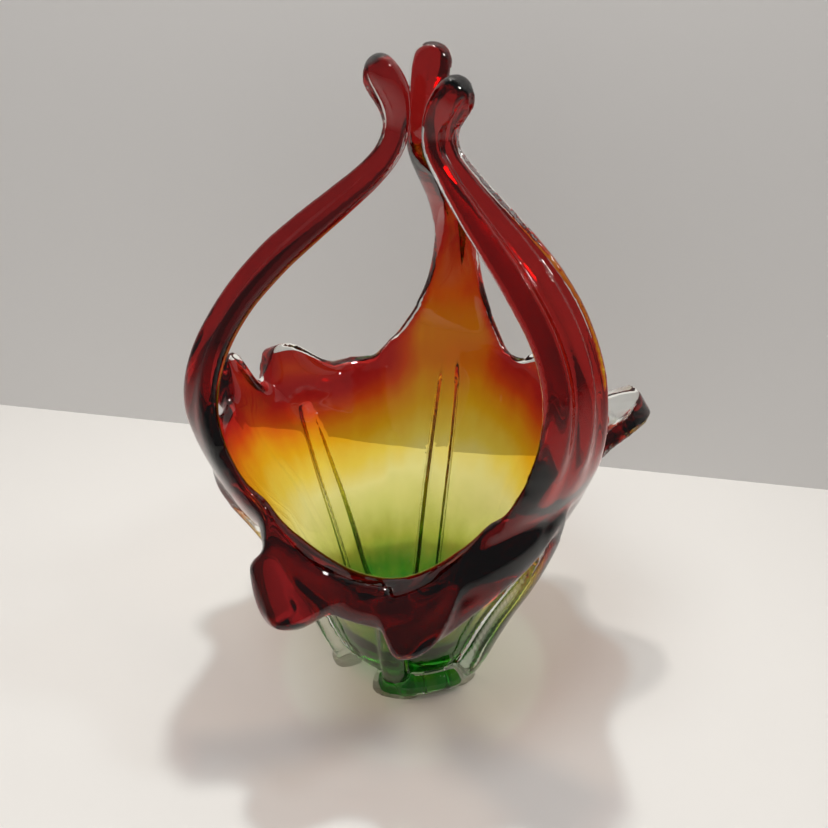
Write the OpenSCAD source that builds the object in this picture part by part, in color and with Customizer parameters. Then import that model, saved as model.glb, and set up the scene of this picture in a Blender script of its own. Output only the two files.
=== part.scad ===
// Three-armed art glass basket vase: coloured inner glass under a clear casing,
// a deep fluted bowl on six pulled feet, a rim drawn out into folded lips, and
// three tall arms that bow outward, close over the bowl and curl at their tips.
// Millimetres, +Z up. Origin on the resting plane, at the middle of the vase's outline
// seen from above; the axis of the bowl stands a few millimetres beside it.
// The lowest dip of the rim faces -Y.

/* [Overall] */
// height from the resting plane to the top of the arm tips
total_h = 270; // [230:1:310]
// thickness of the whole bowl wall, both layers
wall_t = 6.4; // [5:0.2:8]
// thickness of the coloured inner layer
color_t = 2.8; // [2:0.1:3.4]

/* [Arms] */
// direction of the rear arm, degrees from +X
arm_back_az = 77; // [72:1:82]
// direction of the left arm
arm_left_az = 203; // [198:1:208]
// direction of the right arm
arm_right_az = 315; // [311:1:319]
// width of an arm at mid height
arm_w = 19; // [15:0.5:22]
// thickness of an arm at mid height
arm_t = 11; // [9:0.5:13]
// clear glass left around the coloured core of an arm
arm_skin = 2; // [1.2:0.1:2.4]
// half the spread of an arm where it leaves the bowl, degrees
root_half = 23; // [20:1:26]

/* [Rim] */
// how far the rim sinks at the front, as a share of the bowl profile
dip_depth = 0.25; // [0.1:0.01:0.28]
// how far the pulled lips stand out from the rim
lip_reach = 20; // [12:1:24]
// outward roll of the rim between the pulled lips
lip_roll = 6; // [4:0.5:9]

/* [Feet and ribs] */
// how far a rib stands out from the bowl
rib_h = 5.5; // [3:0.5:7]
// half width of a rib near the feet
rib_w = 6; // [4:0.5:8]
// radius of the circle the feet stand on
foot_r = 34; // [32:0.5:36]
// how far the mouth of the bowl bulges over to the left
mouth_bulge = 7; // [0:1:10]
// extra fullness of the bowl beside the left arm, towards the front
front_bulge = 3.5; // [0:0.5:5]

/* [Output] */
// name of one sub-part, or all

/* [Hidden] */
k = total_h / 270;
gap_steps = 18;
side_steps = 10;
axis_at = [-3.3, 3, 0] * k;
cut_z = 76 * k;
floor_t = 12 * k;
interface = 1 - color_t / wall_t;
pad_u = 0.16;
eps = 0.001;
clear_glass = [0.93, 0.96, 0.94, 0.4];
red_glass = [0.5, 0.02, 0.03, 0.7];

// outer face of the bowl, from the middle of its underside to the shoulder
bowl_line = [
  [0, 7], [17, 7.4], [28, 9.5], [35, 20], [42, 36], [50, 54],
  [59, 73], [67, 91], [73.5, 107], [77, 120]
];
// middle of an arm, from the shoulder over the bowl to the curled tip
arm_line = [
  [74, 118], [78.5, 134], [80, 152], [77, 171], [69, 187], [57, 200], [44, 210],
  [31, 219], [20, 227], [12.5, 235], [9.5, 244], [11, 254], [15.5, 262], [19, 266]
];

function mix(a, b, t) = a + (b - a) * t;
function ease(t) = let (c = min(max(t, 0), 1)) c * c * (3 - 2 * c);
function curve(a, b, c, d, t) = 0.5 * (2 * b + (c - a) * t
  + (2 * a - 5 * b + 4 * c - d) * t * t + (3 * b - a - 3 * c + d) * t * t * t);
function along(line, u) = let (n = len(line) - 1, x = min(max(u, 0), 1) * n,
  i = min(floor(x), n - 1)) curve(line[max(i - 1, 0)], line[i], line[i + 1],
  line[min(i + 2, n)], x - i);
function unit(v) = v / max(norm(v), eps);
function slope(line, u) = unit(along(line, min(u + 0.01, 1)) - along(line, max(u - 0.01, 0)));
// the mouth is blown out of round: more to the left, nothing below the cut or above the bow
function bulge(q) = let (r = max(norm([q[0], q[1]]), eps), a = atan2(q[1], q[0]) - arm_left_az,
    out = min(r / (60 * k), 1), b = (a + 540 - 23) % 360 - 180,
    g = mouth_bulge / 78 * pow(max(cos(a), 0), 2) * ease((q[2] - cut_z) / (40 * k))
      * (1 - ease((q[2] / k - 140) / 60)) * out,
    f = abs(b) > 40 ? 0 : front_bulge / 75 * pow(cos(b * 2.2), 2) * ease((q[2] - cut_z) / (22 * k))
      * (1 - ease((q[2] / k - 112) / 25)) * out)
  [q[0] * (1 + g + f), q[1] * (1 + g + f), q[2]];
function spin(p, az) = bulge([p[0] * cos(az), p[0] * sin(az), p[1]]);

// bowl wall in section: w = 0 on the outer face, 1 on the inner face
function wall(u, w) = let (p = along(bowl_line, u), d = slope(bowl_line, u),
  t = mix(floor_t, wall_t, ease((u - 0.18) * 4)))
  k * p + w * t * [-d[1], d[0]];
function find_u(z, lo, hi, n) = let (m = (lo + hi) / 2)
  n == 0 ? m : k * along(bowl_line, m)[1] < z ? find_u(z, m, hi, n - 1) : find_u(z, lo, m, n - 1);
cut_u = find_u(cut_z, 0.3, 1, 16);

// sectors round the rim: [first azimuth, last azimuth, steps, sink of the rim, skew of the sink]
arm_az = [arm_back_az, arm_left_az, arm_right_az];
sinks = [0.6, 1, 0.5];
skews = [0.65, 1, 1];
sectors = [for (i = [0 : 2]) each [
  [arm_az[i] - root_half, arm_az[i] + root_half, side_steps, 0, 1],
  [arm_az[i] + root_half, (i < 2 ? arm_az[i + 1] : arm_az[0] + 360) - root_half,
    gap_steps, sinks[i], skews[i]]]];
function sector_az(s, i) = mix(s[0], s[1], i / s[2]);
function seat(s, i) = 1 - dip_depth * s[3] * pow(max(sin(180 * pow(i / s[2], s[4])), 0), 0.8);
stations = [for (s = sectors) for (i = [0 : s[2] - 1]) [sector_az(s, i), seat(s, i)]];

// solid strung through closed rings; each ring is one face's points, then the other's reversed
module tube(rings) {
  n = len(rings); m = len(rings[0]); h = m / 2; top = (n - 1) * m;
  polyhedron(points = [for (r = rings) each r], faces = concat(
    [for (i = [0 : n - 2], j = [0 : m - 1]) let (a = i * m + j, b = i * m + (j + 1) % m)
      each [[a, b, a + m], [b, b + m, a + m]]],
    [for (j = [0 : h - 2]) let (a = j, b = j + 1, c = m - 2 - j, d = m - 1 - j)
      each [[a, d, b], [b, d, c]]],
    [for (j = [0 : h - 2]) let (a = top + j, b = a + 1, c = top + m - 2 - j, d = c + 1)
      each [[a, b, d], [b, c, d]]]));
}
// the same, hollow: open only at the first ring, where outer and inner rings share a flat end
module sleeve(outer, inner) {
  n = len(outer); q = len(inner); m = len(outer[0]); h = m / 2;
  top = (n - 1) * m; off = n * m; cap = off + (q - 1) * m;
  polyhedron(points = concat([for (r = outer) each r], [for (r = inner) each r]), faces = concat(
    [for (i = [0 : n - 2], j = [0 : m - 1]) let (a = i * m + j, b = i * m + (j + 1) % m)
      each [[a, b, a + m], [b, b + m, a + m]]],
    [for (j = [0 : h - 2]) let (a = top + j, b = a + 1, c = top + m - 2 - j, d = c + 1)
      each [[a, b, d], [b, c, d]]],
    [for (i = [0 : q - 2], j = [0 : m - 1]) let (a = off + i * m + j, b = off + i * m + (j + 1) % m)
      each [[a, a + m, b], [b, a + m, b + m]]],
    [for (j = [0 : h - 2]) let (a = cap + j, b = a + 1, c = cap + m - 2 - j, d = c + 1)
      each [[a, d, b], [b, d, c]]],
    [for (j = [0 : m - 1]) let (b = (j + 1) % m)
      each [[j, off + j, b], [b, off + j, off + b]]]));
}
// closed band between an outer and an inner sheet of points, both running round the axis
module band(outer, inner) {
  n = len(outer); m = len(outer[0]); off = n * m; top = (n - 1) * m;
  polyhedron(points = concat([for (r = outer) each r], [for (r = inner) each r]), faces = concat(
    [for (i = [0 : n - 2], j = [0 : m - 1]) let (a = i * m + j, b = i * m + (j + 1) % m)
      each [[a, a + m, b], [b, a + m, b + m],
        [off + a, off + b, off + a + m], [off + b, off + b + m, off + a + m]]],
    [for (j = [0 : m - 1]) let (b = (j + 1) % m) each [
      [j, b, off + j], [b, off + b, off + j],
      [top + j, off + top + j, top + b], [top + b, off + top + j, off + top + b]]]));
}

// ---- bowl below the shoulder: turned profiles ----
module bowl_layer(w0, w1, u0, u1, steps) {
  rotate_extrude($fn = 120) polygon(concat(
    [for (i = [0 : steps]) let (p = wall(mix(u0, u1, i / steps), w0)) [max(p[0], 0), p[1]]],
    [for (i = [steps : -1 : 0]) let (p = wall(mix(u0, u1, i / steps), w1)) [max(p[0], 0), p[1]]]));
}
module base_pad() color([0.15, 0.5, 0.12, 0.7]) bowl_layer(interface, 1, 0, pad_u, 8);
module bowl_color() color([0.8, 0.75, 0.2, 0.6]) bowl_layer(interface, 1, pad_u, cut_u, 22);
module bowl_casing() color(clear_glass) bowl_layer(0, interface, 0, cut_u, 26);

// ---- shoulder: from the level cut of the bowl up to the wavy seat of rim and arms ----
function shoulder_sheet(w) = [for (i = [0 : 4]) [for (st = stations)
  spin(wall(mix(cut_u, st[1], i / 4), w), st[0])]];
module shoulder_color() color([0.85, 0.45, 0.1, 0.6])
  band(shoulder_sheet(interface), shoulder_sheet(1));
module shoulder_casing() color(clear_glass) band(shoulder_sheet(0), shoulder_sheet(interface));

// ---- rolled rim with two pulled lips between neighbouring arms ----
// lip: [sector, first lip, second lip, lift of the roll, lift of the lips]
// each lip: [place along the gap, how far it spreads back, how far it spreads on, reach]
lip_front = [3, [0.22, 0.22, 0.22, 1.2], [0.64, 0.18, 0.34, 1], -5, -23];
lip_left = [1, [0.49, 0.26, 0.15, 0.5], [0.79, 0.14, 0.14, 0.5], 1, 17];
lip_right = [5, [0.36, 0.25, 0.2, 1.15], [0.8, 0.15, 0.15, 0.55], 4, 15];
function bump(x, b) = let (w = x < b[0] ? b[1] : b[2]) ease((1 - abs(x - b[0]) / w) * (w < 0.25 ? 1.3 : 1));
// section of a lip: v runs from its seat to its edge, w from the outer to the inner face
function lip_point(l, i, v, w) = let (s = sectors[l[0]], x = i / s[2], u = seat(s, i),
    q = ease(min(x, 1 - x) * 6), m1 = bump(x, l[1]), m2 = bump(x, l[2]),
    m = max(m1, m2), reach = lip_reach * (m1 > m2 ? l[1][3] : l[2][3]), d = slope(bowl_line, u),
    rise = k * mix(1.8, 6.5, q), out = k * q * mix(lip_roll, reach, m), up = k * q * mix(l[3], l[4], m),
    p0 = wall(u, 0.5), p1 = p0 + rise * d, p2 = p1 + [out, up], c = min(v, 1),
    p = mix(mix(p0, p1, c), mix(p1, p2, c), c), g = unit(mix(p1 - p0, p2 - p1, c) + eps * d),
    t = wall_t * mix(1, mix(1.1, 1.75, m), c))
  p + (w - 0.5) * t * [-g[1], g[0]] + (v - c) * 20 * k * g;
edge_v = 0.8;
function casing_ring(l, i) = concat(
  [for (j = [0 : 5]) lip_point(l, i, j / 5, 0)], [lip_point(l, i, 1.06, 0.3)],
  [lip_point(l, i, 1.06, 0.7), lip_point(l, i, 1, 1)],
  [for (j = [4 : -1 : 0]) lip_point(l, i, j * edge_v / 4, interface)]);
function color_ring(l, i) = concat(
  [for (j = [0 : 4]) lip_point(l, i, j * edge_v / 4, interface)],
  [lip_point(l, i, 1, 1), lip_point(l, i, 0.9, 1)],
  [for (j = [4 : -1 : 0]) lip_point(l, i, j * edge_v / 4, 1)]);
module lip(l, casing) {
  s = sectors[l[0]];
  tube([for (i = [0 : s[2]]) let (ring = casing ? casing_ring(l, i) : color_ring(l, i))
    [for (p = ring) spin(p, sector_az(s, i))]]);
}
module lip_front_color() color(red_glass) lip(lip_front, false);
module lip_front_casing() color(clear_glass) lip(lip_front, true);
module lip_left_color() color(red_glass) lip(lip_left, false);
module lip_left_casing() color(clear_glass) lip(lip_left, true);
module lip_right_color() color(red_glass) lip(lip_right, false);
module lip_right_casing() color(clear_glass) lip(lip_right, true);

// ---- arms: a wide root on the shoulder, a slim bow, a neck and a thick curled tip ----
arm_steps = 34;
core_end = 31;
function arm_width(u, full) = let (root = 2 * root_half * 75 * PI / 180, w = arm_w * full)
  u < 0.3 ? w + (root - w) * pow(1 - u / 0.3, 2.2)
  : mix(w, 12.5, ease((u - 0.3) / 0.4)) + 2.5 * ease((u - 0.76) / 0.12);
function arm_depth(u) = mix(wall_t, arm_t, ease(u / 0.25)) - 2.4 * ease((u - 0.4) / 0.3)
  + 4 * ease((u - 0.76) / 0.12);
function tip_round(u) = u < 0.9 ? 1 : sqrt(max(1 - pow((u - 0.9) / 0.105, 2), 0.05));
// side: +1 outer face, -1 inner face; s runs -1..1 across the arm; skin: 0 casing, 1 core
function arm_point(a, u, s, side, skin) = let (c0 = along(arm_line, u),
    c = k * [c0[0] + a[1] * sin(180 * min(u / 0.8, 1)), c0[1] + a[4] * ease((u - 0.6) / 0.3)],
    d = slope(arm_line, u),
    g = [d[1], -d[0]], f = tip_round(u), cut = skin * arm_skin,
    hw = (k * arm_width(u, a[3]) * f / 2 - cut) * sin(84 * s), groove = 1 - a[2] * pow(cos(90 * s), 8),
    ht = (k * arm_depth(u) * f / 2 - cut) * cos(84 * s) * (side > 0 ? groove : 1),
    p = c + side * ht * g - skin * k * 1.6 * ease((u - 0.76) / 0.12) * g,
    bend = max(p[0], 30 * k), x = p[0] - bend + bend * cos(hw / bend * 180 / PI),
    y = bend * sin(hw / bend * 180 / PI),
    grown = bulge([x * cos(a[0]) - y * sin(a[0]), x * sin(a[0]) + y * cos(a[0]), p[1]]),
    w = side > 0 ? skin * interface * 0.8 : 1 - skin * 0.12,
    seated = spin(wall(1, w), a[0] + s * root_half * (1 - skin * 0.06)))
  mix(seated, grown, ease(u * 9));
function arm_ring(a, u, skin) = concat(
  [for (j = [0 : side_steps]) arm_point(a, u, 1 - 2 * j / side_steps, 1, skin)],
  [for (j = [side_steps : -1 : 0]) arm_point(a, u, 1 - 2 * j / side_steps, -1, skin)]);
module arm_core(a) color(red_glass)
  tube([for (i = [0 : core_end]) arm_ring(a, i / arm_steps, 1)]);
module arm_casing(a) color(clear_glass)
  sleeve([for (i = [0 : arm_steps]) arm_ring(a, i / arm_steps, 0)],
    [for (i = [0 : core_end]) arm_ring(a, i / arm_steps, 1)]);
// each arm: [azimuth, extra bow, depth of the groove on its outer face, fullness, lift of the tip]
arm_back = [arm_back_az, -2, 0.12, 1, 0];
arm_left = [arm_left_az, 0, 0.12, 1, -0.5];
arm_right = [arm_right_az, 0, 0.3, 1.3, -6];
module arm_back_core() arm_core(arm_back);
module arm_back_casing() arm_casing(arm_back);
module arm_left_core() arm_core(arm_left);
module arm_left_casing() arm_casing(arm_left);
module arm_right_core() arm_core(arm_right);
module arm_right_casing() arm_casing(arm_right);

// ---- clear ribs on the outside of the bowl, each ending in a foot ----
rib_steps = 12;
rib_from = 0.27;
function rib_row(az, u, s, side, f) = let (d = slope(bowl_line, u), p = wall(u, 0),
    a = s * rib_w * k * mix(0.55, 1, f) / p[0] * 180 / PI,
    h = side * rib_h * k * f * (0.15 + 0.85 * cos(90 * s)))
  spin(p + h * [d[1], -d[0]], az + a);
function foot_row(az, z, s, side, f) = let (r0 = foot_r - 6 * f, r1 = foot_r + 4.5 * f,
    r = k * (side > 0 ? mix(r0, r1, 0.2 + 0.8 * cos(84 * s)) : r0 + z * 0.15),
    a = s * rib_w * k * f / r * 180 / PI)
  spin([r, z * k], az + a);
function rib_side(az, u, z, side, f) = [for (j = [0 : 6]) let (s = side * (1 - j / 3))
  z == undef ? rib_row(az, u, s, max(side, 0), f) : foot_row(az, z, s, side, f)];
module rib(az, top) color([0.75, 0.9, 0.78, 0.5])
  tube(concat(
    [for (q = [[0, 0.86], [1.2, 0.97], [4.5, 1], [8.5, 0.98]])
      concat(rib_side(az, 0, q[0], 1, q[1]), rib_side(az, 0, q[0], -1, q[1]))],
    [for (i = [0 : rib_steps]) let (t = i / rib_steps, u = mix(rib_from, top, t),
      f = 1 - 0.85 * pow(t, 3)) concat(rib_side(az, u, undef, 1, f), rib_side(az, u, undef, -1, f))]));
module rib_front() rib(260, 0.62);
module rib_right_arm() rib(arm_right_az + 1, 0.98);
module rib_right() rib(20, 0.74);
module rib_back_arm() rib(arm_back_az, 0.98);
module rib_left() rib(138, 0.74);
module rib_left_arm() rib(arm_left_az, 0.98);

translate(axis_at) base_pad();
translate(axis_at) bowl_color();
translate(axis_at) bowl_casing();
translate(axis_at) shoulder_color();
translate(axis_at) shoulder_casing();
translate(axis_at) lip_front_color();
translate(axis_at) lip_front_casing();
translate(axis_at) lip_left_color();
translate(axis_at) lip_left_casing();
translate(axis_at) lip_right_color();
translate(axis_at) lip_right_casing();
translate(axis_at) arm_back_core();
translate(axis_at) arm_back_casing();
translate(axis_at) arm_left_core();
translate(axis_at) arm_left_casing();
translate(axis_at) arm_right_core();
translate(axis_at) arm_right_casing();
translate(axis_at) rib_front();
translate(axis_at) rib_right_arm();
translate(axis_at) rib_right();
translate(axis_at) rib_back_arm();
translate(axis_at) rib_left();
translate(axis_at) rib_left_arm();
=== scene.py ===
import math

import bmesh
import bpy
from mathutils import Matrix, Vector, kdtree


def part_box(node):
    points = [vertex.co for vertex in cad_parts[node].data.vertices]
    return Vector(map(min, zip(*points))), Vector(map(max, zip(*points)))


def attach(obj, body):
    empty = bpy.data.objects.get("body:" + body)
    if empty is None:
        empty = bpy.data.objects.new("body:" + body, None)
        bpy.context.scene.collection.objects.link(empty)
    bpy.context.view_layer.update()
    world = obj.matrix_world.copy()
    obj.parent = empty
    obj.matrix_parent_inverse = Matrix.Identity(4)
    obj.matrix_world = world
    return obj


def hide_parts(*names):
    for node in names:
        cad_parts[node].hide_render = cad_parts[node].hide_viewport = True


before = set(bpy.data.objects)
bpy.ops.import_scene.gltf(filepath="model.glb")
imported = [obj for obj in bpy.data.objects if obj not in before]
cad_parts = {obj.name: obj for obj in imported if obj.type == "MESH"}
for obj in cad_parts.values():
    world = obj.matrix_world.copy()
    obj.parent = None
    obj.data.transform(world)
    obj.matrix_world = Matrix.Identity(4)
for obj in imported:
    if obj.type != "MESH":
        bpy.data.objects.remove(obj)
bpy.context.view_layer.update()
mm = 0.001
bowlLow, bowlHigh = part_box("bowl_casing")
axis = Vector(((bowlLow.x + bowlHigh.x) / 2, (bowlLow.y + bowlHigh.y) / 2, 0)) / mm  # of the bowl
print("frame loaded, bowl axis at", tuple(round(c, 2) for c in axis), "mm")


def mix(a, b, t):
    return a + (b - a) * t


def ease(t):
    c = min(max(t, 0.0), 1.0)
    return c * c * (3 - 2 * c)


def stepped(x, stops):  # straight lines between (x, y) stops
    if x <= stops[0][0]:
        return stops[0][1]
    for (x0, y0), (x1, y1) in zip(stops, stops[1:]):
        if x <= x1:
            return mix(y0, y1, (x - x0) / (x1 - x0))
    return stops[-1][1]


def along(line, u):  # smooth curve through the line's points
    n = len(line) - 1
    x = min(max(u, 0.0), 1.0) * n
    i = min(int(x), n - 1)
    t = x - i
    a, b, c, d = (Vector(line[min(max(i + j, 0), n)]) for j in (-1, 0, 1, 2))
    square, cube = 2 * a - 5 * b + 4 * c - d, 3 * b - a - 3 * c + d
    return 0.5 * (2 * b + (c - a) * t + square * t * t + cube * t ** 3)


def slope(line, u):
    return (along(line, min(u + 0.01, 1)) - along(line, max(u - 0.01, 0))).normalized()


def apart(degrees, other):  # signed angle between two directions
    return (degrees - other + 180) % 360 - 180


def facing(degrees, other):  # 1 towards the other direction, 0 from a right angle on
    return max(math.cos(math.radians(degrees - other)), 0)


# everything below is in mm and degrees round the bowl until the glass is melted together
bowlLine = [(0, 7), (17, 6.2), (29, 5.5), (36, 18), (42.5, 35.5), (50, 54),
            (59, 73), (67, 91), (73.5, 107), (77, 120)]  # outer profile, as (radius, height)
armDirections = {"back": 77.0, "left": 203.0, "right": 315.0}

vessel = {
    "wall": 6.4,            # thickness of the wall above the floor
    "floor": 12.0,          # thickness of the floor
    "floorEnds": 0.18,      # where the floor starts to thin, as a share of the profile
    "colourFrom": 0.56,     # where the coloured layer starts, as a share of the wall from outside
    "padFrom": 0.28,        # the same under the thick green pad in the floor
    "colourTo": 0.93,       # where it ends, just under the inner face
    "mouthBulge": 7 / 78,   # the mouth is pulled over to the left by this share
    "mouthRise": (76, 40),  # height where the pull starts, and over how much it grows
    "mouthFall": (140, 60),
    "frontBulge": 3.5 / 75,  # extra fullness round the front
    "frontRise": (60, 30),
    "frontFall": (112, 25),
    "frontIs": 259,         # direction of the front
    "frontSpread": 90 / 2.2,  # half the angle over which the front is fuller
    "frontDrop": 0.035,     # the rim is lower round the front, as a share of the profile
    "dip": 0.25,            # how far the rim sinks between two arms
    "lipRise": (1.8, 6.5),  # how far the rim stands up beside the arms and between them
    "lipRoll": 6.0,         # how far the rolled rim leans out
    "lipReach": 20.0,       # how far the lips are pulled out
    "lipThick": (1.1, 1.75),  # thickness of the rolled rim and of the lips, in walls
    "edge": 1.06,           # the clear glass runs past the lip's line by this share
    "colourEdge": 0.86,     # the coloured glass stops before it at the arms
    "sides": 360,
    "rings": 150,
}

# rim between two arms, with two lips as (place, reach to one side, reach to the other, how far out)
rimGaps = [
    {"from": 100, "to": 180, "sink": 0.6, "skew": 0.65, "rollLift": 1, "lipLift": 17, "colourEdge": 0.95,
     "lips": [(0.49, 0.26, 0.15, 0.5), (0.79, 0.14, 0.14, 0.5)]},
    {"from": 226, "to": 292, "sink": 0.86, "skew": 1.0, "rollLift": -5, "lipLift": -23, "colourEdge": 1.0,
     "lips": [(0.18, 0.22, 0.26, 1.2), (0.67, 0.18, 0.32, 0.9)]},
    {"from": 338, "to": 414, "sink": 0.5, "skew": 1.0, "rollLift": 4, "lipLift": 15, "colourEdge": 0.7,
     "lips": [(0.36, 0.25, 0.2, 1.15), (0.8, 0.15, 0.15, 0.55)]},
]


def between(z, rise, fall):  # grows from 0 to 1 over one height and falls off over another
    return ease((z - rise[0]) / rise[1]) * (1 - ease((z - fall[0]) / fall[1]))


def bulged(p):  # the mouth is blown out of round
    share = min(p.xy.length / 60, 1)
    degrees = math.degrees(math.atan2(p.y, p.x))
    left = facing(degrees, armDirections["left"]) ** 2
    fromFront = abs(apart(degrees, vessel["frontIs"]))
    front = math.cos(math.radians(min(fromFront / vessel["frontSpread"], 1) * 90)) ** 2
    rise = between(p.z, vessel["mouthRise"], vessel["mouthFall"]) * share
    low = between(p.z, vessel["frontRise"], vessel["frontFall"]) * share
    g = vessel["mouthBulge"] * left * rise + vessel["frontBulge"] * front * low
    return Vector((p.x * (1 + g), p.y * (1 + g), p.z))


def turned(rz, degrees):  # a profile point turned to its direction round the bowl
    a = math.radians(degrees)
    return bulged(Vector((rz[0] * math.cos(a), rz[0] * math.sin(a), rz[1])))


def wallPoint(u, w):  # u runs up the profile, w from the outer to the inner face
    d = slope(bowlLine, u)
    thick = mix(vessel["floor"], vessel["wall"], ease((u - vessel["floorEnds"]) * 4))
    return along(bowlLine, u) + w * thick * Vector((-d.y, d.x))


def gapAt(degrees):
    for gap in rimGaps:
        x = ((degrees - gap["from"]) % 360) / (gap["to"] - gap["from"])
        if x <= 1:
            return gap, x
    return None, 0


def seatAt(degrees):  # height of the rim, as a share of the profile
    gap, x = gapAt(degrees)
    atArms = 1 - vessel["frontDrop"] * ease(2 * math.cos(math.radians(degrees - vessel["frontIs"])))
    if gap is None:
        return atArms
    return atArms - vessel["dip"] * gap["sink"] * max(math.sin(math.pi * x ** gap["skew"]), 0) ** 0.8


def bump(x, c, before, after):  # a blunt lip, steep at its sides
    spread = before if x < c else after
    return ease((1 - abs(x - c) / spread) * (1.3 if spread < 0.25 else 1))


def lipPoint(degrees, v, w):  # v runs from the seat to the edge of the lip, w from outer to inner face
    gap, x = gapAt(degrees)
    u = seatAt(degrees)
    d = slope(bowlLine, u)
    if gap is None:
        q, m, reach, rollLift, lipLift = 0, 0, 0, 0, 0
    else:
        q = ease(min(x, 1 - x) * 4.2)  # the roll grows away from the arms
        (m1, reach1), (m2, reach2) = [(bump(x, *lip[:3]), lip[3]) for lip in gap["lips"]]
        m = max(m1, m2)
        reach = vessel["lipReach"] * (reach1 if m1 > m2 else reach2)
        rollLift, lipLift = gap["rollLift"], gap["lipLift"]
    out = q * mix(vessel["lipRoll"], reach, m)
    up = q * mix(rollLift, lipLift, m)
    p0 = wallPoint(u, 0.5)
    p1 = p0 + mix(*vessel["lipRise"], q) * d
    p2 = p1 + Vector((out, up))
    c = min(v, 1)
    p = mix(mix(p0, p1, c), mix(p1, p2, c), c)
    g = (mix(p1 - p0, p2 - p1, c) + 0.001 * d).normalized()
    thick = vessel["wall"] * mix(1, mix(*vessel["lipThick"], m), c)
    if 0 < w < 0.9:
        w = mix(w, 0.2, ease(c * 2.5))  # the colour fills the rolled rim
    return p + (w - 0.5) * thick * Vector((-g.y, g.x)) + (v - c) * vessel["lipReach"] * g


def vesselShape(w0, w1, coloured):  # closed wall between two depths, from the floor over the rim and back
    seatShare = 0.8  # share of the rings up to the seat of the lip, the rest make the lip

    def shape(t, angle):
        degrees = 0 if angle is None else math.degrees(angle)
        w = w0 if t < 0.5 else w1
        s = min((t if t < 0.5 else 1 - t) / 0.4975, 1)
        if s < seatShare:
            u = mix(0, seatAt(degrees), s / seatShare)
            if coloured and t < 0.5:
                w = mix(vessel["padFrom"], w0, ease(u * 3.2))
            rz = wallPoint(u, w)
        else:
            gap, x = gapAt(degrees)
            colourEdge = gap["colourEdge"] if gap else vessel["colourEdge"]
            edge = colourEdge if coloured else vessel["edge"]
            rz = lipPoint(degrees, (s - seatShare) / (1 - seatShare) * edge, w)
        if angle is None:
            rz = Vector((0, rz.y))
        return turned((max(rz.x, 0), rz.y), degrees)
    return shape


armLine = [(74, 118), (78.5, 134), (80, 152), (77, 171), (69, 187), (57, 200), (44, 210),
           (31, 219), (20, 227), (12.5, 235), (9.5, 244), (11, 254), (15.5, 262), (19, 266)]

# frontSide is the side on which the rim falls away steeply, coreShift moves the colour in the curled tip
arms = {
    "back": {"bow": -2, "fullness": 1.0, "tipLift": 0, "ridges": 0.2, "ridgeCount": 3, "frontSide": 0,
             "coreShift": -1.6, "neck": 17.0},
    "left": {"bow": 0, "fullness": 1.0, "tipLift": -0.5, "ridges": 0.18, "ridgeCount": 2, "frontSide": 1,
             "coreShift": -1.2, "neck": 12.5},
    "right": {"bow": 0, "fullness": 1.55, "tipLift": -6, "ridges": 0.42, "ridgeCount": 3, "frontSide": -1,
              "coreShift": -2.0, "neck": 15.5},
}
armBuild = {
    "width": 19.0,          # at the middle of an arm
    "tipWidth": 15.5,
    "thickness": 11.0,
    "waistThinner": 2.4,    # thinner by this much above the middle
    "tipThicker": 4,
    "rootSpread": (46, 55),  # where it leaves the wall, in degrees, on its steep side and elsewhere
    "rootRadius": 75,
    "rootFades": (2.3, 2.9),
    "rootEnds": 0.33,       # these four are shares of the arm's length
    "narrowing": 0.38,
    "tipFrom": 0.76,
    "roundFrom": 0.9,
    "skin": 2.0,            # clear glass round the colour
    "coreEnd": 0.95,
    "sides": 48,
    "rings": 150,
}


def armPoint(arm, direction, u, across, outward, inset):
    c0 = along(armLine, u)
    d = slope(armLine, u)
    sink = min(u, 0) * 200
    c = Vector((c0.x + arm["bow"] * math.sin(math.pi * min(max(u, 0) / 0.8, 1)),
                c0.y + arm["tipLift"] * ease((u - 0.6) / 0.3))) + d * sink
    g = Vector((d.y, -d.x))
    steep = 0 if across * arm["frontSide"] > 0 else 1
    root = math.radians(armBuild["rootSpread"][steep]) * armBuild["rootRadius"]
    width = armBuild["width"] * arm["fullness"]
    atTip = ease((u - armBuild["tipFrom"]) / 0.12)
    if u < armBuild["rootEnds"]:
        fade = (1 - max(u, 0) / armBuild["rootEnds"]) ** armBuild["rootFades"][steep]
        width = width + (root - width) * fade
    else:
        width = mix(width, arm["neck"], ease((u - armBuild["rootEnds"]) / armBuild["narrowing"]))
        width += (armBuild["tipWidth"] - arm["neck"]) * atTip
    depth = (mix(vessel["wall"], armBuild["thickness"], ease(u / 0.25))
             - armBuild["waistThinner"] * ease((u - 0.4) / 0.3) + armBuild["tipThicker"] * atTip)
    roundFrom = armBuild["roundFrom"]
    tip = 1 if u < roundFrom else math.sqrt(max(1 - ((u - roundFrom) / 0.105) ** 2, 0.0))
    skin = armBuild["skin"] * inset
    wave = math.cos(arm["ridgeCount"] * math.pi * across)
    ridge = 1 + arm["ridges"] * wave * (outward > 0) * ease(u * 4)
    square = mix(0.35, 1, ease(u * 4))  # the root is as flat as the wall it leaves
    outward = math.copysign(abs(outward) ** square, outward)
    halfWidth = max(width * tip / 2 - skin, 0.2) * across
    out = max(depth * tip / 2 - skin, 0.2) * outward * ridge
    p = c + out * g + inset * arm["coreShift"] * atTip * g
    bend = max(p.x, 30)  # the arm is bent round the axis as the wall is
    x = p.x - bend + bend * math.cos(halfWidth / bend)
    y = bend * math.sin(halfWidth / bend)
    a = math.radians(direction)
    return bulged(Vector((x * math.cos(a) - y * math.sin(a), x * math.sin(a) + y * math.cos(a), p.y)))


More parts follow.
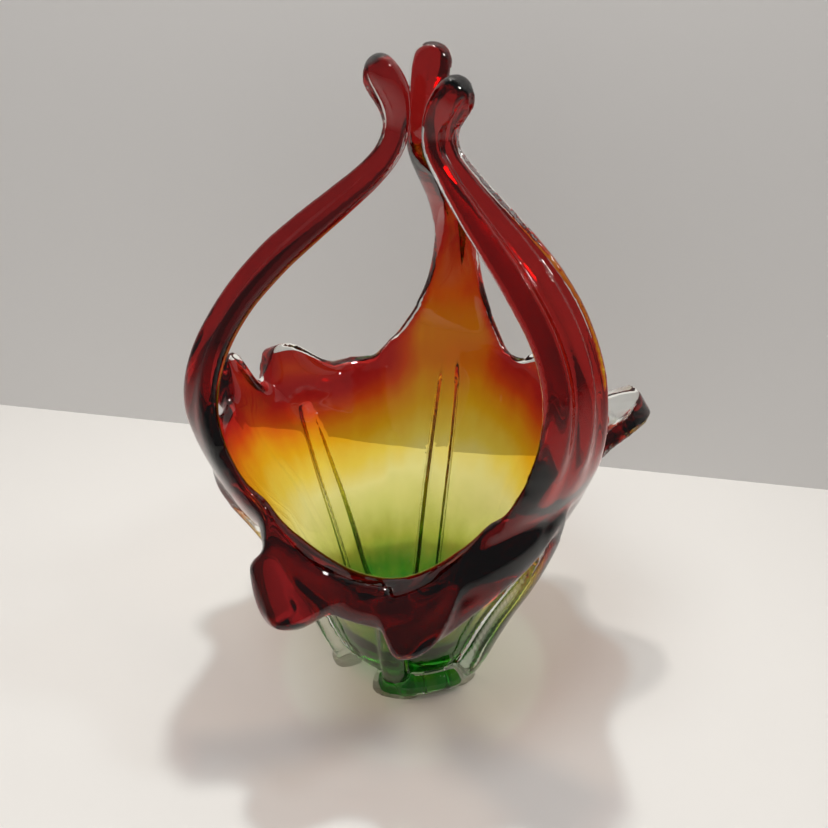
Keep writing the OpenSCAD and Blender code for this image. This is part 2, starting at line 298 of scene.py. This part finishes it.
def armShape(name, inset, end):
    arm, direction = arms[name], armDirections[name]

    def shape(t, angle):
        u = mix(-0.05, end, t)
        if angle is None:
            return armPoint(arm, direction, u, 0, 0, inset)
        return armPoint(arm, direction, u, math.sin(angle), math.cos(angle), inset)
    return shape


# rolled glass along the front rim, as (direction, distance from the axis, height, half thickness)
rimRolls = [
    [(226, 74, 111, 5), (234, 73.5, 102, 6.5), (242, 72, 92.5, 7), (250, 71, 86.5, 7), (258, 70, 84, 7),
     (266, 71, 85.5, 7.5), (274, 72, 91, 7.5), (282, 73, 97, 7.5), (290, 74, 103, 7.5), (300, 75, 109, 7),
     (310, 73, 115, 5.5)],
    [(266, 80, 76, 5.5), (272, 79, 81, 6.5), (282, 77, 90, 6.5), (292, 76, 98, 6.5), (302, 75.5, 105, 6),
     (312, 74, 112, 5), (320, 72, 118, 4.5)],
    [(230, 80, 103, 5.5), (234, 84, 96, 7), (237, 87, 88, 7), (239, 87, 80, 5.5)],
]
footRing = [(262, 35, 5.5, 5), (276, 34.5, 6, 5), (292, 34.5, 6, 5), (308, 35.5, 5.5, 5)]
greenRoll = [(260, 33.5, 8, 6.5), (260, 36.5, 20, 6.8), (260, 41, 33, 6.3), (260, 46, 46, 5)]
rollBuild = {"sides": 24, "rings": 50, "skin": 2.0, "roundEnd": 0.15}


def rollPoint(path, t):
    degrees, r, z, half = along(path, t)
    return turned((r, z), degrees), half


def rollShape(path, inset):
    def shape(t, angle):
        centre, half = rollPoint(path, t)
        if angle is None:
            return centre
        ahead, behind = rollPoint(path, min(t + 0.02, 1))[0], rollPoint(path, max(t - 0.02, 0))[0]
        forward = (ahead - behind).normalized()
        side = forward.cross(Vector((centre.x, centre.y, 0))).normalized()
        end = max(abs(2 * t - 1) - 1 + rollBuild["roundEnd"], 0) / rollBuild["roundEnd"]
        size = (half - inset * rollBuild["skin"]) * math.sqrt(max(1 - end * end, 0))
        return centre + size * (math.cos(angle) * side.cross(forward) + math.sin(angle) * side)
    return shape


# ribs pulled down the outside of the bowl into feet: direction, top as a share of the profile, height
ribs = {
    "runs": [(260, 0.62, 5.5), (316, 0.98, 8.5), (20, 0.74, 7.0), (77, 0.98, 8.5), (138, 0.84, 8.5),
             (203, 0.98, 7.0)],
    "halfWidth": 6.0,
    "deepIn": -3.0,         # the ribs start this far inside the wall
    "turnDown": 0.27,       # where a rib leaves the wall, as a share of the profile
    "footShare": 0.35,      # share of the rings that make the foot
    "footRadius": 33.5,
    "footDepth": 6.5,
    "footHalfWidth": 7.0,
    "greenFoot": 260,       # direction of the wider foot with a green core
    "greenFootHalfWidth": 11.5,
    "greenTop": 0.46,
    "greenTall": 5.5,
    "greenInset": 0.7,
    "square": 0.6,          # 1 for round ribs, less for boxier ones
    "sides": 40,
    "rings": 90,
    "coreSides": 32,
    "coreRings": 60,
}


def ribShape(direction, top, tall, inset=0):
    footHalfWidth = ribs["greenFootHalfWidth" if direction == ribs["greenFoot"] else "footHalfWidth"]
    ribShare = 1 - ribs["footShare"]

    def shape(t, angle):
        s = t / ribShare
        if s < 1:
            u = mix(top, ribs["turnDown"], s)
            f = 1 - 0.85 * (1 - s) ** 3
            d = slope(bowlLine, u)
            middle, outward = wallPoint(u, 0), Vector((d.y, -d.x))
            halfWidth = ribs["halfWidth"] * mix(0.5, 1, f)
            inner, outer = ribs["deepIn"], tall * f
        else:
            s = (t - ribShare) / ribs["footShare"]
            spread = ease(s * 1.5)
            d = slope(bowlLine, ribs["turnDown"])
            start = wallPoint(ribs["turnDown"], 0)
            end = Vector((ribs["footRadius"], mix(ribs["deepIn"], -ribs["deepIn"], inset)))
            middle = mix(start, end, s)
            middle.x -= 2.0 * math.sin(math.pi * s)
            outward = mix(Vector((d.y, -d.x)), Vector((1, 0)), ease(s * 1.6)).normalized()
            halfWidth = mix(ribs["halfWidth"], footHalfWidth, spread)
            inner = mix(ribs["deepIn"], -ribs["footDepth"], spread)
            outer = mix(tall, ribs["footDepth"], spread)
        if angle is None:
            return turned(middle, direction)
        shrink = 1 - 0.45 * inset
        out, side = (math.copysign(abs(c) ** ribs["square"], c) for c in (math.cos(angle), math.sin(angle)))
        rz = middle + outward * mix(inner, outer, 0.5 + 0.5 * out * shrink)
        return turned(rz, direction + math.degrees(halfWidth * shrink * side / max(rz.x, 10)))
    return shape


def drawn(rings, sides, shape):  # a straight round blank, drawn into shape ring by ring
    bm = bmesh.new()
    bmesh.ops.create_cone(bm, cap_ends=True, cap_tris=True, segments=sides, radius1=1, radius2=1,
                          depth=rings - 1, matrix=Matrix.Translation((0, 0, (rings - 1) / 2)))
    uprights = [e for e in bm.edges if abs(e.verts[0].co.z - e.verts[1].co.z) > 0.5]
    bmesh.ops.subdivide_edges(bm, edges=uprights, cuts=rings - 2)
    for v in bm.verts:
        angle = math.atan2(v.co.y, v.co.x) if v.co.xy.length > 0.5 else None
        v.co = shape(v.co.z / (rings - 1), angle)
    return bm


melt = {
    "clearVoxel": 1.0, "clearPasses": 5, "clearShoulderPasses": 18,
    "colourVoxel": 1.2, "colourPasses": 6, "colourShoulderPasses": 10,
    "shoulder": (101, 140),     # heights between which the arms' roots flow into the wall
    "shoulderRadius": 45,
    "shoulderSpread": 31,
    "lips": (62, 132),          # the same for the front lips
    "lipsRadius": 52,
    "lipsFrom": 214, "lipsTo": 304,
}


def onShoulder(p):
    if not (melt["shoulder"][0] < p.z < melt["shoulder"][1] and p.xy.length > melt["shoulderRadius"]):
        return False
    degrees = math.degrees(math.atan2(p.y, p.x))
    return min(abs(apart(degrees, d)) for d in armDirections.values()) < melt["shoulderSpread"]


def onFrontLips(p):
    degrees = math.degrees(math.atan2(p.y, p.x)) % 360
    return (melt["lipsFrom"] < degrees < melt["lipsTo"] and p.xy.length > melt["lipsRadius"]
            and melt["lips"][0] < p.z < melt["lips"][1])


def relax(bm, verts, passes):
    for i in range(passes):
        bmesh.ops.smooth_vert(bm, verts=verts, factor=0.5, use_axis_x=True, use_axis_y=True, use_axis_z=True)


def fuse(name, parts, voxel, passes, shoulderPasses):  # the hot pieces run together into one smooth body
    whole = bmesh.new()
    for bm in parts:
        bmesh.ops.recalc_face_normals(bm, faces=bm.faces)
        part = bpy.data.meshes.new("part")
        bm.to_mesh(part)
        bm.free()
        whole.from_mesh(part)
        bpy.data.meshes.remove(part)
    bmesh.ops.translate(whole, verts=whole.verts, vec=axis)
    bmesh.ops.scale(whole, verts=whole.verts, vec=(mm, mm, mm))
    mesh = bpy.data.meshes.new(name + "Gather")
    whole.to_mesh(mesh)
    whole.free()
    hot = bpy.data.objects.new(name + "Gather", mesh)
    bpy.context.scene.collection.objects.link(hot)
    remesh = hot.modifiers.new("melt", "REMESH")
    remesh.mode = "VOXEL"
    remesh.voxel_size = voxel * mm
    smooth = hot.modifiers.new("relax", "SMOOTH")
    smooth.factor = 0.5
    smooth.iterations = passes
    fused = bpy.data.meshes.new_from_object(hot.evaluated_get(bpy.context.evaluated_depsgraph_get()))
    bpy.data.objects.remove(hot)
    bpy.data.meshes.remove(mesh)
    bm = bmesh.new()
    bm.from_mesh(fused)
    shoulder = [v for v in bm.verts if onShoulder(v.co / mm - axis)]
    frontLips = [v for v in bm.verts if onFrontLips(v.co / mm - axis)]
    relax(bm, frontLips, shoulderPasses)
    relax(bm, shoulder, shoulderPasses)
    bm.to_mesh(fused)
    bm.free()
    print(name, "fused:", len(fused.polygons), "faces")
    return fused


def islands(bm):
    seen = set()
    for start in bm.verts:
        if start in seen:
            continue
        island, stack = [], [start]
        seen.add(start)
        while stack:
            v = stack.pop()
            island.append(v)
            for e in v.link_edges:
                o = e.other_vert(v)
                if o not in seen:
                    seen.add(o)
                    stack.append(o)
        yield island


def cutAt(bm, z, upper):  # cuts the glass level at a height, closes it and returns the closing faces
    cut = bmesh.ops.bisect_plane(bm, geom=bm.verts[:] + bm.edges[:] + bm.faces[:], dist=1e-7,
                                 plane_co=(0, 0, z * mm), plane_no=(0, 0, 1),
                                 clear_outer=upper, clear_inner=not upper)
    edges = [e for e in cut["geom_cut"] if isinstance(e, bmesh.types.BMEdge)]
    filled = bmesh.ops.triangle_fill(bm, use_beauty=True, edges=edges, normal=(0, 0, 1 if upper else -1))
    faces = [f for f in filled["geom"] if isinstance(f, bmesh.types.BMFace)]
    for f in faces:
        if (f.normal.z > 0) != upper:
            f.normal_flip()
    return faces


def cutPiece(name, body, low, high, near, gloss, joint, colour=None):
    bm = bmesh.new()
    bm.from_mesh(body)
    bm.normal_update()
    kept = bm.verts.layers.float_vector.new("keptNormal")  # keeps the shading smooth across a joint
    for v in bm.verts:
        v[kept] = v.normal
    jointFaces, soles = [], []
    for z, upper in ((low, False), (high, True)):
        if z is None:
            continue
        faces = cutAt(bm, z, upper)
        if z > 0:
            jointFaces += faces
        else:
            soles = faces
    if near is not None:  # keep only the island that stands in this direction
        doomed = []
        for island in islands(bm):
            base = min(island, key=lambda v: v.co.z).co / mm - axis
            away = apart(math.degrees(math.atan2(base.y, base.x)), near)
            if abs(away) > 50 or len(island) < 200:
                doomed += island
        gone = set(doomed)
        jointFaces = [f for f in jointFaces if f.verts[0] not in gone]
        bmesh.ops.delete(bm, geom=doomed, context="VERTS")
    for f in bm.faces:
        f.smooth = True
    for f in jointFaces:
        f.material_index = 1
    for f in jointFaces + soles:
        f.smooth = False
    if colour is not None:
        layer = bm.verts.layers.float.new("gather")
        for v in bm.verts:
            v[layer] = colour(v.co / mm - axis)
    bm.verts.index_update()
    bm.faces.index_update()
    normals = []
    for f in bm.faces:
        for loop in f.loops:
            normals.append(loop.vert[kept].normalized() if f.smooth else f.normal.copy())
    mesh = bpy.data.meshes.new(name)
    bm.to_mesh(mesh)
    bm.free()
    mesh.normals_split_custom_set(normals)
    mesh.attributes.remove(mesh.attributes["keptNormal"])
    mesh.materials.append(gloss)
    mesh.materials.append(joint)
    piece = bpy.data.objects.new(name, mesh)
    bpy.context.scene.collection.objects.link(piece)
    return piece


class Wire:  # a shader socket that takes part in sums
    def __init__(self, tree, socket):
        self.tree, self.socket = tree, socket

    def maths(self, how, a, b):
        node = self.tree.nodes.new("ShaderNodeMath")
        node.operation = how
        for i, value in enumerate((a, b)):
            if isinstance(value, Wire):
                self.tree.links.new(value.socket, node.inputs[i])
            else:
                node.inputs[i].default_value = value
        return Wire(self.tree, node.outputs[0])

    def __add__(self, other):
        return self.maths("ADD", self, other)

    def __radd__(self, other):
        return self.maths("ADD", other, self)

    def __sub__(self, other):
        return self.maths("SUBTRACT", self, other)

    def __rsub__(self, other):
        return self.maths("SUBTRACT", other, self)

    def __mul__(self, other):
        return self.maths("MULTIPLY", self, other)

    def __rmul__(self, other):
        return self.maths("MULTIPLY", other, self)


class Finish:
    def __init__(self, name):
        self.material = bpy.data.materials.new(name)
        self.material.use_nodes = True
        self.tree = self.material.node_tree
        self.tree.nodes.clear()

    def node(self, kind, settings, sockets, output=0):
        made = self.tree.nodes.new(kind)
        for key, value in settings.items():
            if key == "stops":
                while len(made.color_ramp.elements) < len(value):
                    made.color_ramp.elements.new(0.5)
                for element, (place, colour) in zip(made.color_ramp.elements, value):
                    element.position = place
                for element, (place, colour) in zip(made.color_ramp.elements, value):
                    element.color = (*colour, 1)
            else:
                setattr(made, key, value)
        for key, value in sockets.items():
            if isinstance(value, Wire):
                self.tree.links.new(value.socket, made.inputs[key])
            else:
                made.inputs[key].default_value = value
        return Wire(self.tree, made.outputs[output])

    def done(self, shader):
        out = self.tree.nodes.new("ShaderNodeOutputMaterial")
        self.tree.links.new(shader.socket, out.inputs["Surface"])
        return self.material

    def doneGlass(self, shader, shade):  # lets the lamps' light through in a straight line, in this shade
        clear = self.node("ShaderNodeBsdfTransparent", {}, {"Color": (*shade, 1)})
        lampRay = self.node("ShaderNodeLightPath", {}, {}, "Is Shadow Ray")
        return self.done(self.node("ShaderNodeMixShader", {}, {0: lampRay, 1: shader, 2: clear}))


clearLook = {
    "tint": (0.985, 1.0, 0.99), "cast": (0.93, 0.985, 0.945), "castScale": 14,
    "ripple": 0.00025, "ripplesPerMetre": 38, "rippleStrength": 0.6, "rippleStretch": 0.35,
    "smear": 0.012, "smearScale": 55, "bending": 1.5, "lampShade": (0.72, 0.72, 0.72),
}


def clearGlass():
    look = clearLook
    finish = Finish("clearCasing")
    place = finish.node("ShaderNodeTexCoord", {}, {}, "Object")
    slow = finish.node("ShaderNodeTexNoise", {}, {"Vector": place, "Scale": look["castScale"], "Detail": 2})
    tint = finish.node("ShaderNodeMix", {"data_type": "RGBA"},
                       {0: slow, 6: (*look["tint"], 1), 7: (*look["cast"], 1)}, 2)
    pulled = finish.node("ShaderNodeMapping", {}, {"Vector": place, "Scale": (1, 1, look["rippleStretch"])})
    ripple = finish.node("ShaderNodeTexNoise", {}, {"Vector": pulled, "Scale": look["ripplesPerMetre"],
                                                    "Detail": 2, "Roughness": 0.4})
    normal = finish.node("ShaderNodeBump", {}, {"Height": ripple, "Strength": look["rippleStrength"],
                                                "Distance": look["ripple"]})
    smear = finish.node("ShaderNodeTexNoise", {}, {"Vector": place, "Scale": look["smearScale"], "Detail": 5})
    shader = finish.node("ShaderNodeBsdfPrincipled", {}, {
        "Base Color": tint, "Roughness": smear * look["smear"], "Transmission Weight": 1.0,
        "IOR": look["bending"], "Normal": normal})
    return finish.doneGlass(shader, look["lampShade"])


# inner glass: its colour from foot to arm tip, as light left after one face of it
colourLook = {
    "run": [
        (0.00, (0.03, 0.40, 0.03)), (0.10, (0.50, 0.56, 0.075)), (0.20, (0.78, 0.77, 0.22)),
        (0.30, (0.93, 0.85, 0.32)), (0.42, (0.93, 0.69, 0.09)), (0.52, (0.88, 0.46, 0.015)),
        (0.62, (0.84, 0.25, 0.01)), (0.74, (0.74, 0.075, 0.01)), (0.87, (0.52, 0.018, 0.016)),
        (1.00, (0.27, 0.008, 0.01)),
    ],
    "streaks": 0.10, "streakScale": 150, "streakStretch": 0.12, "clouds": 0.08, "cloudScale": 30,
    "greenLamp": (0.7, 0.8, 0.64), "yellowLamp": (0.9, 0.87, 0.74), "orangeLamp": (0.82, 0.66, 0.56),
    "redLamp": (0.6, 0.42, 0.4),  # colour of the lamps' light behind each piece
}


def colouredGlass(name, shade):
    look = colourLook
    finish = Finish(name)
    place = finish.node("ShaderNodeTexCoord", {}, {}, "Object")
    gather = finish.node("ShaderNodeAttribute", {"attribute_name": "gather"}, {}, "Fac")
    pulled = finish.node("ShaderNodeMapping", {}, {"Vector": place, "Scale": (1, 1, look["streakStretch"])})
    streaks = finish.node("ShaderNodeTexNoise", {},
                          {"Vector": pulled, "Scale": look["streakScale"], "Detail": 3})
    clouds = finish.node("ShaderNodeTexNoise", {},
                         {"Vector": place, "Scale": look["cloudScale"], "Detail": 2})
    drifted = gather + (streaks - 0.5) * look["streaks"] + (clouds - 0.5) * look["clouds"]
    colour = finish.node("ShaderNodeValToRGB", {"stops": look["run"]}, {"Fac": drifted})
    shader = finish.node("ShaderNodeBsdfPrincipled", {}, {
        "Base Color": colour, "Roughness": 0.0, "Transmission Weight": 1.0, "IOR": 1.0})
    return finish.doneGlass(shader, shade)


def jointGlass():  # a cut between two pieces of one melted body can't be seen
    finish = Finish("fusedJoint")
    return finish.done(finish.node("ShaderNodeBsdfTransparent", {}, {"Color": (1, 1, 1, 1)}))


def nearness(points):  # gives the distance from a place to the nearest of the points
    tree = kdtree.KDTree(len(points))
    for i, p in enumerate(points):
        tree.insert(p, i)
    tree.balance()
    return lambda p: tree.find(p)[2]


def lipPoints(directions, shares):
    return [turned(lipPoint(d % 360, v, 0.5), d % 360) for v in shares for d in directions]


frontRange = range(rimGaps[1]["from"], rimGaps[1]["to"] + 1)
fromRim = nearness([p for gap in rimGaps for p in lipPoints(range(gap["from"], gap["to"] + 1), (0.3, 1))])
rightRoot = [armPoint(arms["right"], armDirections["right"], i / 60, -1, 0, 0) for i in range(14)]
fromFrontRim = nearness(lipPoints(frontRange, (0.2, 0.6, 1)) + rightRoot
                        + [rollPoint(path, i / 40)[0] for path in rimRolls for i in range(41)])
fromBackEdge = nearness([armPoint(arms["back"], armDirections["back"], i / 60, side, 0, 0)
                         for i in range(61) for side in (-1, 1)])

# place in the colour run, 0 green foot to 1 deep red, against height or distance
colourRun = {
    "height": [(8, 0.0), (22, 0.02), (32, 0.08), (42, 0.15), (53, 0.22), (65, 0.3), (78, 0.38), (90, 0.47),
               (98, 0.54), (108, 0.61), (118, 0.68)],
    "greenFront": 285, "greenHigher": 14,   # the green reaches higher on the outside of this side
    "rim": [(0, 0.93), (6, 0.86), (12, 0.74), (20, 0.6), (30, 0.5), (44, 0.38), (60, 0.2), (75, 0)],
    "frontRim": [(0, 1.0), (10, 1.0), (18, 0.93), (24, 0.66), (36, 0.45), (48, 0.3), (62, 0.1), (75, 0)],
    "back": [(85, 0.44), (110, 0.53), (128, 0.6), (140, 0.68), (153, 0.78), (175, 0.86), (270, 0.9)],
    "backEdge": [(0, 0.9), (3, 0.82), (6, 0.68), (10, 0.58), (16, 0.48)],
    "left": [(88, 0.44), (103, 0.56), (116, 0.82), (126, 0.94), (270, 0.95)],
    "right": [(75, 0.45), (84, 0.6), (93, 0.86), (105, 0.9), (140, 0.86), (200, 0.88), (270, 0.94)],
}


def gatherAt(p):
    degrees = math.degrees(math.atan2(p.y, p.x)) % 360
    outside = facing(degrees, colourRun["greenFront"]) ** 2
    value = max(stepped(p.z - colourRun["greenHigher"] * outside, colourRun["height"]),
                stepped(fromRim(p), colourRun["rim"]), stepped(fromFrontRim(p), colourRun["frontRim"]))
    ways = {name: stepped(p.z, colourRun[name]) for name in arms}
    ways["back"] = max(ways["back"], stepped(fromBackEdge(p), colourRun["backEdge"]))
    weight = {name: facing(degrees, armDirections[name]) ** 6 for name in arms}
    armValue = sum(ways[name] * weight[name] for name in arms) / (sum(weight.values()) + 1e-6)
    share = ease((p.z - 78) / 30)
    above = ease((p.z - 108) / 36)
    inArm = mix(ease(max(weight.values()) * 1.6), 1, ease((p.z - 130) / 22))
    return mix(value, mix(max(armValue, value), armValue, above), share * inArm)


clearParts = [drawn(vessel["rings"], vessel["sides"], vesselShape(0, 1, False))]
colourParts = [drawn(vessel["rings"], vessel["sides"],
                     vesselShape(vessel["colourFrom"], vessel["colourTo"], True))]
for name in arms:
    clearParts.append(drawn(armBuild["rings"], armBuild["sides"], armShape(name, 0, 1.0)))
    colourParts.append(drawn(armBuild["rings"], armBuild["sides"], armShape(name, 1, armBuild["coreEnd"])))
for path in rimRolls + [footRing]:
    for parts, inset in ((clearParts, 0), (colourParts, 1)):
        parts.append(drawn(rollBuild["rings"], rollBuild["sides"], rollShape(path, inset)))
colourParts.append(drawn(rollBuild["rings"], rollBuild["sides"], rollShape(greenRoll, 1)))
for direction, top, tall in ribs["runs"]:
    clearParts.append(drawn(ribs["rings"], ribs["sides"], ribShape(direction, top, tall)))
greenCore = ribShape(ribs["greenFoot"], ribs["greenTop"], ribs["greenTall"], ribs["greenInset"])
colourParts.append(drawn(ribs["coreRings"], ribs["coreSides"], greenCore))
print("blanks drawn")
clearBody = fuse("clear", clearParts, melt["clearVoxel"], melt["clearPasses"], melt["clearShoulderPasses"])
colourBody = fuse("colour", colourParts, melt["colourVoxel"], melt["colourPasses"],
                  melt["colourShoulderPasses"])

joint = jointGlass()
casing = clearGlass()
green = colouredGlass("greenGlass", colourLook["greenLamp"])
amber = colouredGlass("amberGlass", colourLook["yellowLamp"])
orange = colouredGlass("orangeGlass", colourLook["orangeLamp"])
red = colouredGlass("redGlass", colourLook["redLamp"])
padCut, bowlCut, rimCut = 19, 76, 148  # heights at which the melted glass is divided into pieces
ribNodes = [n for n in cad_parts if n.startswith("rib_")]
made = [
    (cutPiece("bowlCasing", clearBody, 0, bowlCut, None, casing, joint),
     ["bowl_casing"] + ribNodes, "clear_casing"),
    (cutPiece("rimCasing", clearBody, bowlCut, rimCut, None, casing, joint),
     ["shoulder_casing", "lip_front_casing", "lip_left_casing", "lip_right_casing"], "clear_casing"),
    (cutPiece("basePad", colourBody, None, padCut, None, green, joint, gatherAt),
     ["base_pad"], "green_glass"),
    (cutPiece("bowlColour", colourBody, padCut, bowlCut, None, amber, joint, gatherAt),
     ["bowl_color"], "amber_glass"),
    (cutPiece("rimColour", colourBody, bowlCut, rimCut, None, orange, joint, gatherAt),
     ["shoulder_color", "lip_front_color", "lip_left_color", "lip_right_color"], "orange_glass"),
]
for name, direction in armDirections.items():
    made.append((cutPiece("armCasing" + name.capitalize(), clearBody, rimCut, None, direction, casing, joint),
                 ["arm_" + name + "_casing"], "clear_casing"))
    made.append((cutPiece("armCore" + name.capitalize(), colourBody, rimCut, None, direction, red, joint,
                          gatherAt),
                 ["arm_" + name + "_core"], "red_glass"))
for piece, nodes, slotName in made:
    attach(piece, "root")
    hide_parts(*nodes)
    print(piece.name, len(piece.data.polygons), "faces")

room = {"floorSize": 3.0, "wallSize": 1.5, "wallBehind": 0.167, "wallTurn": 8.5, "roughness": 0.55,
        "floorColour": (0.80, 0.79, 0.77), "wallColour": (0.76, 0.75, 0.74), "unevenness": 0.03,
        "skyColour": (0.95, 0.96, 1.0), "skyStrength": 0.16}


def plainSurface(name, colour, grain, oneSided):
    finish = Finish(name)
    place = finish.node("ShaderNodeTexCoord", {}, {}, "Object")
    cloud = finish.node("ShaderNodeTexNoise", {}, {"Vector": place, "Scale": grain, "Detail": 3})
    darker, lighter = ([min(c * (1 + way * room["unevenness"]), 1) for c in colour] for way in (-1, 1))
    tone = finish.node("ShaderNodeMix", {"data_type": "RGBA"},
                       {0: cloud, 6: (*darker, 1), 7: (*lighter, 1)}, 2)
    shader = finish.node("ShaderNodeBsdfPrincipled", {},
                         {"Base Color": tone, "Roughness": room["roughness"]})
    if oneSided:  # seen through from behind
        clear = finish.node("ShaderNodeBsdfTransparent", {}, {})
        behind = finish.node("ShaderNodeNewGeometry", {}, {}, "Backfacing")
        shader = finish.node("ShaderNodeMixShader", {}, {0: behind, 1: shader, 2: clear})
    return finish.done(shader)


def flatSheet(name, size, matrix, material):
    bm = bmesh.new()
    bmesh.ops.create_grid(bm, x_segments=1, y_segments=1, size=size, matrix=matrix)
    mesh = bpy.data.meshes.new(name)
    bm.to_mesh(mesh)
    bm.free()
    mesh.materials.append(material)
    sheet = bpy.data.objects.new(name, mesh)
    bpy.context.scene.collection.objects.link(sheet)


flatSheet("floor", room["floorSize"], Matrix.Identity(4),
          plainSurface("paleFloor", room["floorColour"], 3, False))
turn = math.radians(room["wallTurn"])
wallNormal = Vector((math.sin(turn), math.cos(turn), 0))
wallMiddle = axis * mm + wallNormal * room["wallBehind"] + Vector((0, 0, room["wallSize"]))
toWall = Matrix.Translation(wallMiddle) @ wallNormal.to_track_quat("-Z", "Y").to_matrix().to_4x4()
flatSheet("backdrop", room["wallSize"], toWall, plainSurface("paleWall", room["wallColour"], 2, True))

world = bpy.data.worlds.new("softRoom")
bpy.context.scene.world = world
world.use_nodes = True
world.node_tree.nodes["Background"].inputs["Color"].default_value = (*room["skyColour"], 1)
world.node_tree.nodes["Background"].inputs["Strength"].default_value = room["skyStrength"]

lamps = [
    {"name": "lampOverVase", "at": (-0.02, 0.11, 0.76), "aim": (0, 0, 0.05), "size": 0.045, "watts": 2.5,
     "colour": (1, 0.95, 0.88), "glints": True},
    {"name": "lampSoftFront", "at": (-0.3, -0.35, 1.2), "aim": (0, 0, 0.1), "size": 0.5, "watts": 5.5,
     "colour": (1, 0.97, 0.94), "glints": False},
    {"name": "lampSoftRight", "at": (0.5, -0.1, 0.9), "aim": (0, 0, 0.1), "size": 0.12, "watts": 1.2,
     "colour": (1, 0.97, 0.94), "glints": True},
]
for lamp in lamps:
    light = bpy.data.lights.new(lamp["name"], "AREA")
    light.shape = "DISK"
    light.size, light.energy, light.color = lamp["size"], lamp["watts"], lamp["colour"]
    holder = bpy.data.objects.new(lamp["name"], light)
    holder.location = lamp["at"]
    holder.rotation_euler = (Vector(lamp["aim"]) - Vector(lamp["at"])).to_track_quat("-Z", "Y").to_euler()
    holder.visible_glossy = lamp["glints"]
    bpy.context.scene.collection.objects.link(holder)
print("room and lamps made")

view = {"at": (-0.0037, -0.3347, 0.3267), "lookDown": 30.82, "roll": 1.249, "lens": 41.44, "sensor": 36}
camera = bpy.data.cameras.new("camera")
camera.lens, camera.sensor_width, camera.clip_start = view["lens"], view["sensor"], 0.01
holder = bpy.data.objects.new("camera", camera)
holder.matrix_world = (Matrix.Translation(view["at"])
                       @ Matrix.Rotation(math.radians(90 - view["lookDown"]), 4, "X")
                       @ Matrix.Rotation(math.radians(view["roll"]), 4, "Z"))
bpy.context.scene.collection.objects.link(holder)
bpy.context.scene.camera = holder

scene = bpy.context.scene
scene.cycles.max_bounces = 28
scene.cycles.transmission_bounces = 28
scene.cycles.transparent_max_bounces = 32
scene.cycles.glossy_bounces = 8
scene.cycles.diffuse_bounces = 3
scene.cycles.caustics_refractive = False
scene.cycles.caustics_reflective = False
scene.cycles.use_denoising = True
scene.cycles.sample_clamp_indirect = 6
scene.view_settings.view_transform = "Standard"
